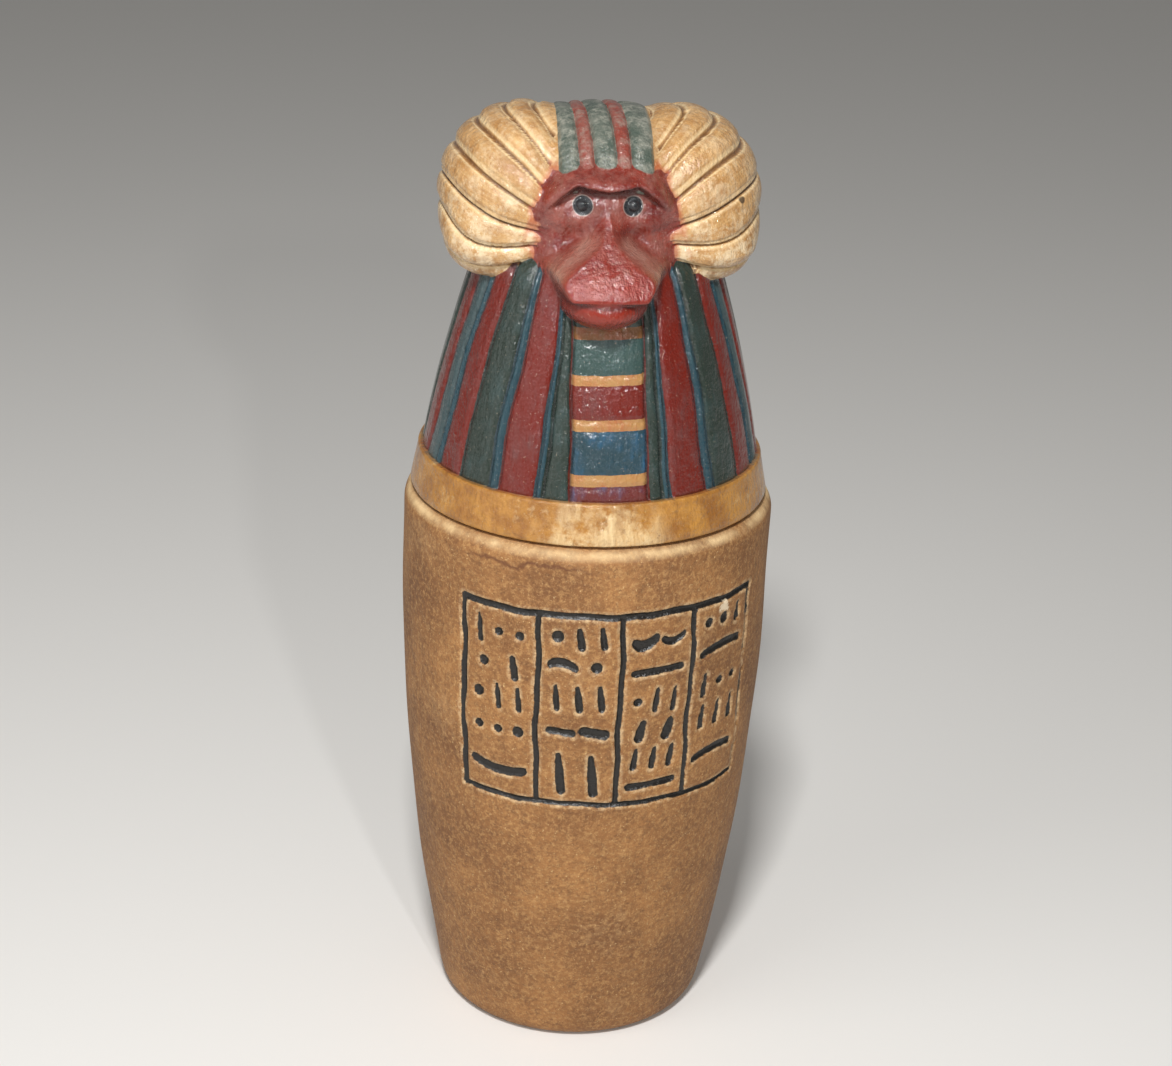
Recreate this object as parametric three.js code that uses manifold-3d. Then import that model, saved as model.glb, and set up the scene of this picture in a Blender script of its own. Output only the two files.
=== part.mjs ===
// Canopic jar with a baboon-head lid: a thick-walled, shouldered jar and the one-piece stopper that
// closes it, cast as an ochre band, a striped wig, a ruffed head and a plug that drops into the mouth.
// Millimetres, +Z up. The origin is the centre of the jar's foot and the face looks along -Y.
import * as THREE from 'three';
import { mergeVertices } from 'three/addons/utils/BufferGeometryUtils.js';
import Module from 'manifold-3d';

// ---------------------------------------------------------------- driving dimensions

const JAR = {
  height: 154.7, shoulder: 50, taper: 13, taperTop: 130, lipRound: 5,
  footFlat: 32, footRound: 6, wall: 7, floor: 9, floorRound: 8, mouth: 41, mouthRound: 1.2,
};
const PANEL = {
  top: 137.3, bottom: 79.2, centreDeg: 6.4, halfDeg: 49.5, columns: 4, line: 1.7, depth: 0.9,
};
const LID = {
  seatGap: 0.3, plugRadius: 39.5, plugDepth: 8, plugRound: 1,
  bandTop: 166, bandFoot: 48, bandHead: 46.1, bandRound: 0.7,
  wigFoot: 45, wigTaper: 0.17, wigCurve: 0.0015, flute: 0.9,
};
const HEAD = {
  centre: 235, ruffX: 19.5, ruffY: 1, ruffRadius: [22.6, 24.5, 23], ruffBelow: 21.5, ruffSquare: 3.1,
  lock: 0.8, lockPitch: 22.5, lockFirst: -29, poleX: 11, poleZ: 231,
};

// Half of the wig's bands, from the middle of the chest to the ear: where each ends, in degrees from
// the front, and how many facets cross it. Behind the ear the bands are all alike.
const FRONT_BANDS = [[12.7, 5], [17.5, 2], [20.6, 1], [35.3, 4], [39, 1], [51.8, 2], [64.5, 1], [76.7, 1]];
const BACK_BAND_DEG = 12.16;
const BACK_FACETS = 2;

const JAR_SEGMENTS = 60;
const COLOURS = { jar: 0xb08052, lid: 0x8f4a35 };

const { degToRad: rad, clamp, smoothstep } = THREE.MathUtils;

// ---------------------------------------------------------------- solids

const wasm = await Module();
wasm.setup();

// A closed geometry as a manifold solid: shared corners merged, collapsed triangles dropped.
function toSolid(geometry) {
  const bare = geometry.clone();
  for (const name of ['normal', 'uv']) bare.deleteAttribute(name);
  const merged = mergeVertices(bare, 1e-4);
  const index = merged.index.array;
  const kept = [];
  for (let i = 0; i < index.length; i += 3) {
    const [a, b, c] = [index[i], index[i + 1], index[i + 2]];
    if (a !== b && b !== c && c !== a) kept.push(a, b, c);
  }
  const vertProperties = new Float32Array(merged.attributes.position.array);
  return new wasm.Manifold(new wasm.Mesh({ numProp: 3, vertProperties, triVerts: new Uint32Array(kept) }));
}

function toGeometry(solid) {
  const mesh = solid.getMesh();
  const geometry = new THREE.BufferGeometry();
  geometry.setAttribute('position', new THREE.BufferAttribute(mesh.vertProperties, 3));
  geometry.setIndex(new THREE.BufferAttribute(mesh.triVerts, 1));
  geometry.computeVertexNormals();
  return geometry;
}

// A profile of [radius, height] points turned about the upright axis.
function turned(points) {
  const profile = points.map(([r, z]) => new THREE.Vector2(r, z));
  return new THREE.LatheGeometry(profile, JAR_SEGMENTS).rotateX(Math.PI / 2);
}

// Points of a quarter circle about [r, z], from one angle to another, in degrees.
function arc(r, z, radius, from, to, steps) {
  return Array.from({ length: steps + 1 }, (_, i) => {
    const angle = rad(from + (to - from) * i / steps);
    return [r + radius * Math.cos(angle), z + radius * Math.sin(angle)];
  });
}

// ---------------------------------------------------------------- the jar

// The wall swells from the foot to the shoulder on a parabola, then runs straight up.
function jarRadius(z) {
  return JAR.shoulder - JAR.taper * Math.max(0, 1 - z / JAR.taperTop) ** 2;
}

function heights(from, to, steps) {
  return Array.from({ length: steps + 1 }, (_, i) => from + (to - from) * i / steps);
}

function jarProfile() {
  const { height, footFlat, footRound, wall, floor, floorRound, mouth, mouthRound, lipRound } = JAR;
  const foot = new THREE.QuadraticBezierCurve(
    new THREE.Vector2(footFlat, 0),
    new THREE.Vector2(jarRadius(0), 0),
    new THREE.Vector2(jarRadius(footRound), footRound),
  ).getPoints(4).map((p) => [p.x, p.y]);
  const outside = heights(footRound, JAR.taperTop, 9).slice(1).map((z) => [jarRadius(z), z]);
  const lip = arc(JAR.shoulder - lipRound, height - lipRound, lipRound, 0, 90, 4);
  const rim = arc(mouth + mouthRound, height - mouthRound, mouthRound, 90, 180, 2);
  const inner = (z) => Math.min(mouth, jarRadius(z) - wall);
  const inside = heights(85, floor + floorRound, 5).map((z) => [inner(z), z]);
  const bowl = arc(inner(floor + floorRound) - floorRound, floor + floorRound, floorRound, 0, -90, 4).slice(1);
  return [[0, 0], ...foot, ...outside, ...lip, ...rim, ...inside, ...bowl, [0, floor]];
}

// A bar standing on a radius of the jar at one azimuth from the front, as a cutter.
function radialBar(azimuth, width, bottom, top) {
  const bar = new THREE.BoxGeometry(width, JAR.shoulder, top - bottom);
  bar.translate(0, -JAR.shoulder, (top + bottom) / 2).rotateZ(rad(azimuth));
  return toSolid(bar);
}

// A slab of the panel's width and one line's height: a sector cut across the jar.
function sectorSlab(z) {
  const from = rad(PANEL.centreDeg - PANEL.halfDeg - 90);
  const to = rad(PANEL.centreDeg + PANEL.halfDeg - 90);
  const reachOut = 2 * JAR.shoulder;
  const sector = new THREE.Shape();
  sector.moveTo(0, 0).lineTo(reachOut * Math.cos(from), reachOut * Math.sin(from));
  sector.absarc(0, 0, reachOut, from, to, false);
  const slab = new THREE.ExtrudeGeometry(sector, { depth: PANEL.line, bevelEnabled: false, curveSegments: 8 });
  return toSolid(slab.translate(0, 0, z - PANEL.line / 2));
}

// The panel's frame and column lines, all one depth: bars and slabs kept only inside a thin shell
// that follows the wall.
function panelLines() {
  const { top, bottom, columns, halfDeg, centreDeg, line, depth } = PANEL;
  const rows = heights(bottom - 3, top + 3, 5);
  const outer = rows.map((z) => [jarRadius(z) + 2, z]);
  const inner = rows.map((z) => [jarRadius(z) - depth, z]).reverse();
  const shell = toSolid(turned([...outer, ...inner, outer[0]]));
  let lines = sectorSlab(top).add(sectorSlab(bottom));
  for (let i = 0; i <= columns; i++) {
    const azimuth = centreDeg - halfDeg + 2 * halfDeg * i / columns;
    lines = lines.add(radialBar(azimuth, line, bottom - line / 2, top + line / 2));
  }
  return lines.intersect(shell);
}

function makeJar() {
  return toGeometry(toSolid(turned(jarProfile())).subtract(panelLines()));
}

// ---------------------------------------------------------------- the lid's form
//
// The form is a field: negative inside, zero on the surface. Each mass gives a distance, masses are
// joined and hollows cut with a rounded minimum or maximum. x is the distance from the middle plane.

const join = (a, b, round) => {
  const overlap = Math.max(round - Math.abs(a - b), 0) / round;
  return Math.min(a, b) - overlap * overlap * round / 4;
};
const keep = (a, b, round) => -join(-a, -b, round);
const carve = (a, hollow, round) => keep(a, -hollow, round);

// An ellipsoid, squarer as the power rises above 2.
function ball([x, y, z], [cx, cy, cz], [rx, ry, rz], power = 2) {
  const sum = Math.abs((x - cx) / rx) ** power + Math.abs((y - cy) / ry) ** power
    + Math.abs((z - cz) / rz) ** power;
  return (sum ** (1 / power) - 1) * Math.min(rx, ry, rz);
}

// A bar with round ends that tapers from one radius to another.
function bar([x, y, z], [ax, ay, az], [bx, by, bz], from, to) {
  const [dx, dy, dz] = [bx - ax, by - ay, bz - az];
  const along = ((x - ax) * dx + (y - ay) * dy + (z - az) * dz) / (dx * dx + dy * dy + dz * dz);
  const t = clamp(along, 0, 1);
  return Math.hypot(x - ax - t * dx, y - ay - t * dy, z - az - t * dz) - (from + (to - from) * t);
}

// The side of a plane through a point: negative behind it.
function plane([x, y, z], [px, py, pz], [nx, ny, nz]) {
  const length = Math.hypot(nx, ny, nz);
  return ((x - px) * nx + (y - py) * ny + (z - pz) * nz) / length;
}

function wigRadius(z) {
  const up = z - LID.bandTop;
  return LID.wigFoot - LID.wigTaper * up - LID.wigCurve * up * up;
}

// How far a point lies across its band: 0 at a groove, 1 on the crest, and the band's width.
function bandAt(degrees) {
  let from = 0;
  for (const [to] of FRONT_BANDS) {
    if (degrees < to) return [(degrees - from) / (to - from), to - from];
    from = to;
  }
  const past = (degrees - from) / BACK_BAND_DEG;
  return [past - Math.floor(past), BACK_BAND_DEG];
}

function wig([x, y, z]) {
  const [across, width] = bandAt(THREE.MathUtils.radToDeg(Math.atan2(x, -y)));
  const depth = LID.flute * Math.min(1, width / 10);
  const groove = depth * (1 - Math.sqrt(Math.max(0, Math.sin(Math.PI * across))));
  const wall = Math.hypot(x, y) - wigRadius(z) + groove;
  return keep(wall, z - 225, 8);
}

// One side of the ruff: a mass round above and squarer below, combed into locks that run
// from a pole behind the cheek to one at the back.
function ruff([x, y, z]) {
  const below = z < HEAD.centre;
  const [rx, ry, rz] = HEAD.ruffRadius;
  const drop = clamp((HEAD.centre - z) / (0.5 * rz), 0, 1);
  const power = 2 + (HEAD.ruffSquare - 2) * drop;
  const mass = ball([x, y, z], [HEAD.ruffX, HEAD.ruffY, HEAD.centre],
    [rx, ry, below ? HEAD.ruffBelow : rz], power);
  const turn = THREE.MathUtils.radToDeg(Math.atan2(z - HEAD.poleZ, x - HEAD.poleX));
  const lock = (turn - HEAD.lockFirst) / HEAD.lockPitch;
  return mass + HEAD.lock * (1 - Math.sqrt(Math.abs(Math.sin(Math.PI * lock))));
}

function crown(p) {
  return ball(p, [0, 2, 232], [40, 27, 26.4]);
}

// Half the breadth of the muzzle's flat top at a drop below the eyes.
function kiteHalf(drop) {
  const low = drop - 6.4;
  const flare = 0.2 + 0.18 * Math.max(drop, 0) + 0.58 * (low + Math.sqrt(low * low + 0.8));
  return join(flare, 11.3, 3) - 2.6 * smoothstep(drop, 13.5, 19.5);
}

// The muzzle as a depth for each height and breadth: flat across the kite, falling back beyond it,
// and cut level at the lip.
function snout([side, y, z]) {
  const drop = HEAD.centre + 1.6 - z;
  const ridge = join(26.7 + 1.19 * Math.max(drop, -2), 46, 8) - 0.012 * side * side;
  const soft = 1.5 + 0.15 * clamp(drop - 7, 0, 8);
  const beyond = Math.hypot(Math.max(side - kiteHalf(drop), 0), soft) - soft;
  const steep = 1.55 + 0.26 * clamp(drop - 4, 0, 12) + 1.5 * smoothstep(drop, 12, 17);
  const front = -(ridge - steep * beyond + y) / Math.sqrt(2.4 + steep * steep);
  const lip = HEAD.centre - 17.6 - z;
  const roof = z - HEAD.centre - 2;
  return keep(keep(keep(front, lip, 2), roof, 3), y + 14, 2);
}

// The brow is a low visor, falling at the temples, over a shallow hollow for each eye.
function brow([side, y, z]) {
  return ball([side, y, z + 3 * (side / 14) ** 4], [0, -12.4, 242.6], [15.6, 14.2, 3.2], 2.1);
}

function socket(p) {
  return ball(p, [7, -36, 237.8], [9.4, 11.6, 4.8]);
}

function face(p) {
  let form = ball(p, [0, -11, 232], [19.6, 15.4, 17], 2.6);
  form = join(form, ball(p, [0, -14, 239], [16, 12.6, 8.4], 2.3), 3);
  form = join(form, bar(p, [10.2, -19, 221.8], [7.6, -27, 218.4], 8.2, 5.6), 4);
  form = carve(join(form, brow(p), 4.5), socket(p), 2.5);
  form = join(form, ball(p, [0, -22.4, 237.2], [5, 4.1, 3.2], 2.6), 1.5);
  form = join(form, bar(p, [7, -25, 232.2], [15.6, -20.3, 235.2], 0.9, 2.2), 2.8);
  form = carve(form, bar(p, [8.6, -30.4, 229], [13, -31.5, 222.5], 4.2, 4.4), 3.5);
  form = join(form, bar(p, [15, -19, 231.5], [16, -17, 226.5], 3.2, 2.6), 3);
  form = join(form, snout(p), 2.6);
  form = join(form, ball(p, [0, -31, 215.4], [10.8, 14.2, 6.4]), 1);
  return join(form, ball(p, [6.3, -23.7, 238.1], [2.7, 2.7, 2.7]), 0.4);
}

function lidForm(x, y, z) {
  const p = [Math.abs(x), y, z];
  const hair = join(wig(p), join(ruff(p), crown(p), 1.2), 0.8);
  return join(hair, face(p), 0.8);
}

// ---------------------------------------------------------------- the lid's skin

// The azimuths of the skin's columns: an edge at every groove, facets between.
function columnAzimuths() {
  const half = [0];
  let from = 0;
  const addBand = (to, facets) => {
    for (let i = 1; i <= facets; i++) half.push(from + (to - from) * i / facets);
    from = to;
  };
  for (const [to, facets] of FRONT_BANDS) addBand(to, facets);
  for (; from + BACK_BAND_DEG < 180; ) addBand(from + BACK_BAND_DEG, BACK_FACETS);
  half.push(180);
  return [...half, ...half.slice(1, -1).reverse().map((a) => 360 - a)];
}

// Walks in along one ray to the form's outermost surface.
function reach(height, elevation, azimuth) {
  const flat = Math.cos(rad(elevation));
  const step = [Math.sin(rad(azimuth)) * flat, -Math.cos(rad(azimuth)) * flat, Math.sin(rad(elevation))];
  const at = (t) => lidForm(step[0] * t, step[1] * t, height + step[2] * t);
  let outside = 60;
  while (outside > 1 && at(outside - 0.5) > 0) outside -= 0.5;
  let inside = outside - 0.5;
  for (let i = 0; i < 20; i++) {
    const middle = (outside + inside) / 2;
    if (at(middle) > 0) outside = middle;
    else inside = middle;
  }
  return new THREE.Vector3(step[0] * inside, step[1] * inside, height + step[2] * inside);
}

// The turned part under the wig: plug, seat and band, as rings of [radius, height].
function footRings() {
  const { plugRadius, plugDepth, plugRound, bandTop, bandFoot, bandHead, bandRound, seatGap, wigFoot } = LID;
  const seat = JAR.height + seatGap;
  return [
    ...arc(plugRadius - plugRound, seat - plugDepth + plugRound, plugRound, -90, 0, 2),
    [plugRadius, seat],
    [bandFoot - bandRound, seat],
    [bandFoot, seat + bandRound],
    [bandHead, bandTop - bandRound],
    [bandHead - bandRound, bandTop],
    [wigFoot - LID.flute, bandTop + 0.1],
  ];
}

// Rays that meet the wig level, then fan out from the middle of the head.
function skinRays() {
  const level = heights(168.5, 204, 4).map((z) => [z, 0]);
  const low = heights(-37, -14, 8).map((e) => [HEAD.centre, e]);
  const mid = heights(-11.5, 20, 10).map((e) => [HEAD.centre, e]);
  const high = heights(26, 81, 5).map((e) => [HEAD.centre, e]);
  return [...level, ...low, ...mid, ...high];
}

// Closes stacked rings of equal length into one skin, with a fan at each end.
function skin(rings, bottom, top) {
  const columns = rings[0].length;
  const points = [bottom, ...rings.flat(), top];
  const faces = [];
  const at = (ring, column) => 1 + ring * columns + (column % columns);
  for (let i = 0; i < columns; i++) {
    faces.push(0, at(0, i + 1), at(0, i));
    for (let ring = 0; ring + 1 < rings.length; ring++) {
      faces.push(at(ring, i), at(ring, i + 1), at(ring + 1, i + 1));
      faces.push(at(ring, i), at(ring + 1, i + 1), at(ring + 1, i));
    }
    faces.push(at(rings.length - 1, i), at(rings.length - 1, i + 1), points.length - 1);
  }
  const geometry = new THREE.BufferGeometry().setFromPoints(points);
  geometry.setIndex(faces);
  geometry.computeVertexNormals();
  return geometry;
}

function makeLid() {
  const azimuths = columnAzimuths();
  const foot = footRings().map(([r, z]) => azimuths.map((a) => (
    new THREE.Vector3(r * Math.sin(rad(a)), -r * Math.cos(rad(a)), z))));
  const form = skinRays().map(([z, e]) => azimuths.map((a) => reach(z, e, a)));
  const underside = new THREE.Vector3(0, 0, JAR.height + LID.seatGap - LID.plugDepth);
  return skin([...foot, ...form], underside, reach(HEAD.centre, 90, 0));
}

// ---------------------------------------------------------------- the object

function piece(name, geometry, colour, roughness) {
  const material = new THREE.MeshStandardMaterial({ color: colour, roughness, metalness: 0 });
  const mesh = new THREE.Mesh(geometry, material);
  mesh.name = name;
  return mesh;
}

const canopicJar = new THREE.Group();
canopicJar.add(piece('jar', makeJar(), COLOURS.jar, 0.85));
canopicJar.add(piece('baboon_head_lid', makeLid(), COLOURS.lid, 0.35));

export default canopicJar;
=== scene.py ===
# %% [markdown]
# # A canopic jar with a baboon-head lid
#
# The real thing is a hand-painted replica in two castings: a sandy, ochre jar with a black-filled
# incised panel, and a stopper cast in one with a plug, an ochre band, a striped wig and a ruffed
# baboon's head. The lid is painted in red, dark teal, blue and ochre under an uneven gloss varnish.
#
# Both castings are built here as surfaces worked out with numpy on a grid of two parameters, so that
# the carving is real geometry. The CAD model gives every main size and place.

# %% Load the frame
import math

import bpy
import numpy as np
from mathutils import Matrix, Vector


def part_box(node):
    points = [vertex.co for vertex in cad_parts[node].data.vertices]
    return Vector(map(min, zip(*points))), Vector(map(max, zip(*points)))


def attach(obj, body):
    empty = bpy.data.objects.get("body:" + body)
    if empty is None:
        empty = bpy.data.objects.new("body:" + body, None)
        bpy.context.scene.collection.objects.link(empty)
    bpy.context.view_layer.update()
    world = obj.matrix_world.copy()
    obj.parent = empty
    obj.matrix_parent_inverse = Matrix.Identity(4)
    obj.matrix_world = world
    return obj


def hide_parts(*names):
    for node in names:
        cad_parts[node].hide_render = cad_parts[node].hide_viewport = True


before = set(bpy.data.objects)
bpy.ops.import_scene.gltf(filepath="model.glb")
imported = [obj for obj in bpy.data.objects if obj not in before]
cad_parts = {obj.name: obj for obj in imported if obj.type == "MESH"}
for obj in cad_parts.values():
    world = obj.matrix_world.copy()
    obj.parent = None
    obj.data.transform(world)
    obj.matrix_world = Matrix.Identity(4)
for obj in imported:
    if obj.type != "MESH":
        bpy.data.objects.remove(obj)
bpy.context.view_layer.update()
MM = 0.001

# %% [markdown]
# ## Sizes
#
# A mould maker works from a few measured heights and radii. Here they come from the CAD boxes of the
# two castings, and everything finer hangs on them, in millimetres.

# %% Measure the castings
jar_high = np.array(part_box("jar")[1]) / MM
lid_low, lid_high = (np.array(corner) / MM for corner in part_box("baboon_head_lid"))
RIM = float(jar_high[2])
SHOULDER = float(jar_high[0])
CROWN = float(lid_high[2])
SEAT = RIM + 0.3
PLUG_DEPTH = SEAT - float(lid_low[2])
BAND_TOP = SEAT + 11.0
HEAD_MIDDLE = CROWN - 23.4
print(f"rim {RIM:.1f}, shoulder {SHOULDER:.1f}, plug {PLUG_DEPTH:.1f}, crown {CROWN:.1f} mm")

# %% [markdown]
# ## A kit for carving with distances
#
# A sculptor builds a head from masses, rounds them into each other and cuts hollows. The same can be
# done with formulas: each mass is a field that is negative inside and positive outside, masses are
# joined by a minimum with a rounded corner, and hollows are cut by a maximum. All of them take whole
# arrays of points at once.

# %% Masses, joins and cuts
def join(a, b, rounding):
    """Union: the smaller field, with a fillet where the two are within `rounding` of each other."""
    overlap = np.maximum(rounding - np.abs(a - b), 0) / rounding
    return np.minimum(a, b) - overlap**2 * rounding / 4


def keep(a, b, rounding):
    """Intersection: the larger field, rounded in the same way."""
    return -join(-a, -b, rounding)


def ball(p, centre, radii, power=2.0):
    """An ellipsoid: the power mean of the offsets over the radii, minus one. Squarer above 2."""
    x, y, z = p
    sums = (np.abs((x - centre[0]) / radii[0]) ** power + np.abs((y - centre[1]) / radii[1]) ** power
            + np.abs((z - centre[2]) / radii[2]) ** power)
    return (sums ** (1 / power) - 1) * min(radii[0], radii[1], np.min(radii[2]))


def bar(p, start, end, thick, thin):
    """A tapering bar with round ends: the distance to a segment, less a radius that varies along it."""
    x, y, z = p
    axis = np.subtract(end, start)
    along = ((x - start[0]) * axis[0] + (y - start[1]) * axis[1] + (z - start[2]) * axis[2]) / axis.dot(axis)
    t = np.clip(along, 0, 1)
    gap = np.sqrt((x - start[0] - t * axis[0]) ** 2 + (y - start[1] - t * axis[1]) ** 2
                  + (z - start[2] - t * axis[2]) ** 2)
    return gap - (thick + (thin - thick) * t)


def plane(p, through, normal):
    """The distance in front of a plane."""
    n = np.array(normal) / np.linalg.norm(normal)
    return sum((p[i] - through[i]) * n[i] for i in range(3))


def step(x, low, high):
    """A smooth rise from 0 at `low` to 1 at `high`: 3t squared minus 2t cubed."""
    t = np.clip((x - low) / (high - low), 0, 1)
    return t * t * (3 - 2 * t)


print("a 10 mm ball's field at its centre:", ball((0.0, 0.0, 0.0), (0, 0, 0), (10, 10, 10)), "mm")

# %% [markdown]
# ## The wig
#
# The wig is a cone with a slightly swelling side, modelled as upright reeds: wide ones in red and dark
# green, with narrow raised ribs between. The reeds lean together a little towards the top, and were
# scored by hand, so their edges wander.

# %% The wig's side and its reeds
WIG_FOOT = 45.0
FRONT_EDGES = np.array([12.7, 18.3, 21.2, 35.6, 39.6, 52.8, 65.2, 68.4, 76.7])
BACK_BAND = 12.16
BAND_EDGES = np.concatenate([FRONT_EDGES, np.arange(FRONT_EDGES[-1] + BACK_BAND, 180, BACK_BAND)])
STRIP_HALF = BAND_EDGES[0]
# The strip's bars from the band upwards: dark red, ochre, blue, ochre, red, ochre, teal, ochre painted brown
# as shadow, teal.
STRIP_EDGES = BAND_TOP + np.array([3.8, 6.9, 17.8, 20.5, 29.0, 31.6, 40.2, 43.0])


def wig_radius(z):
    """The side: a straight taper and a gentle swell, falling faster as it rises."""
    up = z - BAND_TOP
    return WIG_FOOT - 0.17 * up - 0.0015 * up**2


def reed_angle(x, y, z):
    """The angle from the front that a point would have at the wig's foot, in degrees. The reeds close
    in by a sixth towards the top and wander with two slow waves. The two sides differ:
    the strip's left edge lies 3 degrees nearer the middle at its foot and 3 further out at its top,
    and the right edge and the front reeds beyond it lie 3 degrees further out."""
    signed = np.degrees(np.arctan2(x, -y))
    t = np.clip((z - BAND_TOP) / 51, 0, 1.4)
    a = np.abs(signed)
    wander = 0.55 * np.sin(z / 9.3 + signed / 15) + 0.35 * np.sin(z / 4.1 - signed / 9)
    side = np.where(signed < 0, -0.9, 0.4) * step(a, 14, 18) * (1 - step(a, 150, 175))
    left_lean = (3 - 6 * np.clip(t, 0, 1)) * (1 - step(a, 13, 20))
    side += np.where(signed < 0, left_lean, -3.2 * (1 - step(a, 60, 95)))
    spread = 0.17 * t * a * (1 - a / 180) * step(a, 12, 24)
    return a + spread + side + wander * step(a, 2, 8) * (1 - step(a, 168, 178))


def reed_relief(x, y, z):
    """How deep the surface lies below the reeds' crests: a scored line at each edge, and a rounded
    back between them."""
    a = reed_angle(x, y, z)
    edges = np.concatenate([[0], BAND_EDGES, [360 - BAND_EDGES[-1]]])
    k = np.clip(np.searchsorted(edges, a, side="right") - 1, 0, len(edges) - 2)
    width = edges[k + 1] - edges[k]
    across = np.clip((a - edges[k]) / width, 0, 1)
    per_degree = np.hypot(x, y) * np.pi / 180
    from_edge = np.minimum(across, 1 - across) * width * per_degree
    from_edge = np.where(k == 0, (1 - across) * width * per_degree, from_edge)
    score = 0.75 * np.exp(-((from_edge / 0.55) ** 2))
    reach = np.minimum(2.6, 0.5 * width * per_degree)
    shoulder = 0.45 * np.clip(1 - from_edge / reach, 0, 1) ** 2
    return score + shoulder


def strip_relief(x, y, z):
    """The centre strip's cross lines: a scored line at each change of colour, and a slight sag between."""
    inside = 1 - step(reed_angle(x, y, z), STRIP_HALF - 0.6, STRIP_HALF)
    slant = z - 0.02 * x
    lines = np.zeros_like(z)
    for edge in STRIP_EDGES:
        lines = np.maximum(lines, np.exp(-(((slant - edge) / 0.42) ** 2)))
    return inside * 0.55 * lines


def wig(p):
    """The cone's side with its carving, closed by a level top inside the head."""
    x, y, z = p
    wall = np.hypot(x, y) - wig_radius(z) + reed_relief(x, y, z) + strip_relief(x, y, z)
    return keep(wall, z - (HEAD_MIDDLE - 10), 8)


print("reed edges on each side:", len(BAND_EDGES), "radius under the head:",
      round(float(wig_radius(HEAD_MIDDLE - 20)), 1), "mm")

# %% [markdown]
# ## The ruff and the crown
#
# Two great rounded masses of hair stand out beside the face, squarer below where they rest on the
# shoulders. They are combed into locks: each is a swelling between two cut channels, and all of them
# run from behind the cheek round to the back. Between the masses, five bands run over the crown.

# %% The combed locks
RUFF_X = 19.5
RUFF_RADII = (22.6, 24.5)
RUFF_UP, RUFF_DOWN = 23.0, 21.5


def comb_angle(x, y, z):
    """The angle round the comb's axis, in degrees from level. The axis starts behind the cheek, passes
    through the middle of the mass and comes back towards the middle plane behind."""
    bend = (y / 21) ** 2
    across = np.abs(x) - (RUFF_X - 12.5 * bend)
    up = z - (HEAD_MIDDLE - 6.2 * bend)
    return np.degrees(np.arctan2(up, across)), np.hypot(across, up)


def lock_place(x, y, z):
    """Locks counted upwards from the lowest: the whole part is the lock, the rest is how far across."""
    angle, away = comb_angle(x, y, z)
    pitch = np.where(x < 0, 20.6, 23.4)
    wander = 0.05 * np.sin(y / 5 + np.where(x < 0, 0, 2.2)) + 0.04 * np.sin(angle / 13)
    return (angle + 28.5) / pitch + wander, away, pitch


def lock_relief(x, y, z):
    """A flat channel about 2 mm wide above each cut line, and a swelling lock between channels. The
    cut is a bell curve, broader near the top, where the rows of points lie further apart."""
    place, away, pitch = lock_place(x, y, z)
    across = place - np.floor(place)
    wide = np.radians(pitch) * away
    below = across * wide
    above = (1 - across) * wide
    channel = 0.5 * (1 - step(below, 1.7, 2.5)) * step(wide, 2.5, 5)
    cut_width = 0.5 + 0.4 * step(z, HEAD_MIDDLE + 5, HEAD_MIDDLE + 13)
    cut = 0.85 * np.exp(-((np.minimum(below, above) / cut_width) ** 2))
    swell = 0.95 * (1 - np.sqrt(np.clip(np.sin(np.pi * np.clip(across, 0, 1)), 0, 1)))
    fade = step(away, 1.5, 6)
    return (np.maximum(channel, swell) + cut) * fade


def ruff(p):
    """Both masses at once, by mirroring: an ellipsoid whose power rises below the middle."""
    x, y, z = p
    drop = np.clip((HEAD_MIDDLE - z) / (0.5 * RUFF_UP), 0, 1)
    power = 2 + 1.1 * drop
    tall = np.where(z < HEAD_MIDDLE, RUFF_DOWN, RUFF_UP)
    side = np.abs(x)
    mass = ball((side, y, z), (RUFF_X, 1, HEAD_MIDDLE), (RUFF_RADII[0], RUFF_RADII[1], tall), power)
    return mass + lock_relief(x, y, z)


print("the ruff is", 2 * (RUFF_X + RUFF_RADII[0]), "mm across and", RUFF_UP + RUFF_DOWN, "mm high")

# %% [markdown]
# ## The crown
#
# A strip of five low rolls, three grey-green and two red, lies over the crown between the masses and
# ends in a level fringe on the forehead. A wide vault with the rolls taken off it gives all five at
# once, so they meet the masses in one clean line on each side.

# %% The crown's five bands
CROWN_EDGES = np.array([-12.2, -8.0, -4.6, 1.0, 4.9, 11.4])


def crown_place(x, y):
    """Where a point lies across the crown: the middle bands slant to the right as they come forward."""
    forward = np.clip((9 - y) / 27, -1.2, 1.2)
    return x - 2.2 * (forward - 0.5) * np.clip(1 - (x / 12.5) ** 2, 0, 1)


def crown(p):
    """A wide low vault, scored between its bands, each band a low roll."""
    x, y, z = p
    u = crown_place(x, y)
    k = np.clip(np.searchsorted(CROWN_EDGES, u) - 1, 0, 4)
    width = CROWN_EDGES[k + 1] - CROWN_EDGES[k]
    across = np.clip((u - CROWN_EDGES[k]) / width, 0, 1)
    from_edge = np.minimum(across, 1 - across) * width
    roll = 0.75 * (1 - np.sqrt(np.clip(1 - (2 * across - 1) ** 2, 0, 1)))
    score = 0.4 * np.exp(-((from_edge / 0.4) ** 2))
    outside = np.clip(np.abs(u + 0.4) - 11.8, 0, 3)
    vault = ball(p, (0, 0, HEAD_MIDDLE - 3), (40, 28.2, 26.3)) + roll + score + 0.5 * outside
    fringe = plane(p, (0, -25, HEAD_MIDDLE + 6.9), (0, -0.25, -0.97)) - 0.01 * x**2
    return keep(vault, fringe, 1.5)


print("crown bands, in mm across:", np.diff(CROWN_EDGES).round(1))

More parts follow.
